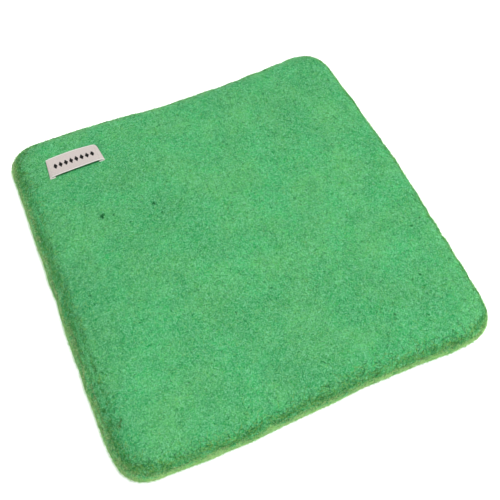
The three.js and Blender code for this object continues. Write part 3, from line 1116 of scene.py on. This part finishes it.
# %% [markdown]
# ## The label's folds and edges
# The ribbon's middle line runs along the face, round a tight fold and back under it. A sewn label is
# never a true rectangle: this one's ends slant, its top bows up and its upper right corner is worn round.

# %% Label outline
CORNER_ROUND = 3.0 * MM
LABEL_BOW = 1.2 * MM
END_SLANT = 0.10
LABEL_SWING = 1.2 * MM


def ribbon_path(distance):
    """(along, height, how far folded under) of the ribbon's middle line, from end to end."""
    side = -1 if distance < 0 else 1
    on = abs(distance)
    if on < FACE_HALF:
        return distance, 2 * FOLD_RADIUS, 0.0
    if on < FACE_HALF + math.pi * FOLD_RADIUS:
        turn = (on - FACE_HALF) / FOLD_RADIUS
        along = FACE_HALF + FOLD_RADIUS * math.sin(turn)
        return side * along, FOLD_RADIUS * (1 + math.cos(turn)), turn / math.pi
    tucked = on - FACE_HALF - math.pi * FOLD_RADIUS
    return side * (FACE_HALF - tucked), 0.0, 1.0


def worn_corner(along, across):
    """The same place on a face whose ends slant, whose top bows and whose upper right corner is round."""
    along -= (along / FACE_HALF) ** 3 * END_SLANT * across
    bow = LABEL_BOW * (1 - min(abs(along) / FACE_HALF, 1.0) ** 2)
    across += (bow + LABEL_SWING * (0.5 - along / LABEL_LENGTH)) * (0.5 + across / LABEL_HEIGHT)
    out = (along - LABEL_LENGTH / 2 + CORNER_ROUND) / CORNER_ROUND
    up = (across - LABEL_HEIGHT / 2 + CORNER_ROUND) / CORNER_ROUND
    if out <= 0 or up <= 0:
        return along, across
    along -= CORNER_ROUND * out * (1 - math.sqrt(max(1 - up * up / 2, 0.0)))
    across -= CORNER_ROUND * up * (1 - math.sqrt(max(1 - out * out / 2, 0.0)))
    return along, across


print("half of the face is", round(ribbon_path(FACE_HALF)[0] / MM, 2), "mm up to its fold")

# %% [markdown]
# ## How the label lies on the felt
# The ribbon is stiffer than the felt, so it lies on the felt's general plane rather than on every lump.
# It is tacked at its ends, and between them its lower edge curls off and throws a thin shadow.

# %% Label seat
LABEL_SEAT = 0.22 * MM
LABEL_CURL = 1.5 * MM
CURL_LEAST = 0.12
CURL_POWER = 2.5
HOLD_POWER = 8
LABEL_RIPPLE = 0.10 * MM
RIPPLE_WIDTH = 6 * MM


def felt_under(along, across):
    """The felt's height under a place on the label."""
    place = LABEL_MIDDLE + LABEL_ALONG * along + LABEL_UP * across
    hit, _, _, _ = felt_tree.ray_cast(Vector((place.x, place.y, FAR)), Vector((0, 0, -1)))
    return hit.z


def label_plane():
    """The felt's height at the label's middle, and its slopes along and across the label."""
    left, right = [felt_under(side * LABEL_LENGTH / 2, 0) for side in (-1, 1)]
    front, back = [felt_under(0, side * LABEL_HEIGHT / 2) for side in (-1, 1)]
    return (left + right + front + back) / 4, (right - left) / LABEL_LENGTH, (back - front) / LABEL_HEIGHT


SEAT_HEIGHT, SEAT_ALONG, SEAT_ACROSS = label_plane()


def label_place(along, across, height):
    """A place on the label, from its own coordinates, above the felt that it lies on."""
    level = SEAT_HEIGHT + SEAT_ALONG * along + SEAT_ACROSS * across + LABEL_SEAT + height
    flat = LABEL_MIDDLE + LABEL_ALONG * along + LABEL_UP * across
    return Vector((flat.x, flat.y, level))


def label_lift(along, across):
    """How far the face curls off the felt: most at the middle of its lower edge, not at the tacks."""
    held = 1 - min(abs(along) / FACE_HALF, 1.0) ** HOLD_POWER
    lower = 0.5 - across / LABEL_HEIGHT
    ripple = LABEL_RIPPLE * noise.noise(Vector((along, across, 0)) / RIPPLE_WIDTH)
    return held * (LABEL_CURL * (CURL_LEAST + (1 - CURL_LEAST) * lower**CURL_POWER) + ripple)


print("the felt under the label is", round(SEAT_HEIGHT / MM, 2), "mm up")

# %% [markdown]
# ## Sewing the label on
# Every point of the flat grid is looked up on the folded path, lifted by the curl and set on the felt.
# Solidify then makes cloth of it, half to each side of the grid.

# %% Label
LABEL_SEGMENTS = (150, 36)
LABEL_CLOTH = 0.24 * MM
TAB_DROP = 0.45 * MM


def sew_label():
    """Lays the flat ribbon along its folded path, on the felt."""
    bm = bmesh.new()
    bm.loops.layers.uv.new("OFBake")
    along_steps, across_steps = LABEL_SEGMENTS
    bmesh.ops.create_grid(bm, x_segments=along_steps, y_segments=across_steps, size=0.5, calc_uvs=True)
    for vert in bm.verts:
        distance, across = vert.co.x * RIBBON_LENGTH, vert.co.y * LABEL_HEIGHT
        along, height, folded = ribbon_path(distance)
        height += label_lift(along, across) * (1 - folded)
        along, across = worn_corner(along, across)
        vert.co = label_place(along, across - TAB_DROP * folded, height)
    label = finish_piece(bm, "label_ribbon", ribbon)
    cloth = label.modifiers.new("cloth", "SOLIDIFY")
    cloth.thickness = LABEL_CLOTH
    cloth.offset = 0.0
    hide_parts("woven_label")


sew_label()

# %% [markdown]
# ## The tacking thread
# Each end is held by a row of small running stitches. A sewing thread is two plies twisted together, so
# each row is two lines that wind round one path, which rises over the label and dives through it.

# %% Thread
STITCHES = 4
STITCH_LENGTH = 1.7 * MM
STITCH_GAP = 1.5 * MM
STITCH_INSET = 2.2 * MM
STITCH_DEPTH = 1.6 * MM
STITCH_FALL = 0.30 * MM
PLY_RADIUS = 0.11 * MM
PLY_RISE = 1.6
PLY_TWIST = 0.9 * MM
PLY_SIDES = 6
THREAD_POINTS = 240
THREAD_WHITE = (srgb(226, 220, 208), srgb(244, 241, 234))
LABEL_ENDS = {"left": -1, "right": 1}


def stitch_height(across):
    """How far the thread lies above the label's face, or below it between stitches."""
    pitch = STITCH_LENGTH + STITCH_GAP
    middles = [(k - (STITCHES - 1) / 2) * pitch for k in range(STITCHES)]
    beyond = min(abs(across - middle) for middle in middles) - STITCH_LENGTH / 2
    if beyond < 0:
        return PLY_RADIUS * (PLY_RISE + beyond / STITCH_LENGTH)
    return PLY_RADIUS * PLY_RISE - STITCH_DEPTH * ease(beyond / STITCH_FALL)


def thread_path(end):
    """The middle line of one row of stitches."""
    span = STITCHES * STITCH_LENGTH + (STITCHES - 1) * STITCH_GAP + 2 * STITCH_FALL
    along = end * (LABEL_LENGTH / 2 - STITCH_INSET)
    points = []
    for step in range(THREAD_POINTS + 1):
        across = (step / THREAD_POINTS - 0.5) * span
        face = 2 * FOLD_RADIUS + label_lift(along, across) + LABEL_CLOTH / 2
        points.append(label_place(along, across, face + stitch_height(across)))
    return points


def wound(points, start_turn):
    """A line that winds round a path, as one ply of a thread does."""
    ply = []
    gone = 0.0
    for k, point in enumerate(points):
        before, after = points[max(k - 1, 0)], points[min(k + 1, len(points) - 1)]
        ahead = (after - before).normalized()
        gone += (point - before).length
        upward = LABEL_ALONG.cross(ahead).normalized()
        turn = start_turn + gone * math.tau / PLY_TWIST
        ply.append(point + (LABEL_ALONG * math.cos(turn) + upward * math.sin(turn)) * PLY_RADIUS)
    return ply


for side, end in LABEL_ENDS.items():
    middle_line = thread_path(end)
    plies = [wound(middle_line, start_turn) for start_turn in (0.0, math.pi)]
    evenly = [1.0] * len(middle_line)
    name = f"{side}_tacking_thread"
    thread = fibre_piece(name, plies, 2 * PLY_RADIUS, THREAD_WHITE, evenly, PLY_SIDES)
    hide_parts(f"{side}_label_thread")

# %% [markdown]
# ## The finished mat
# The dressed mat has to stay within its solids' box, apart from a little fuzz.
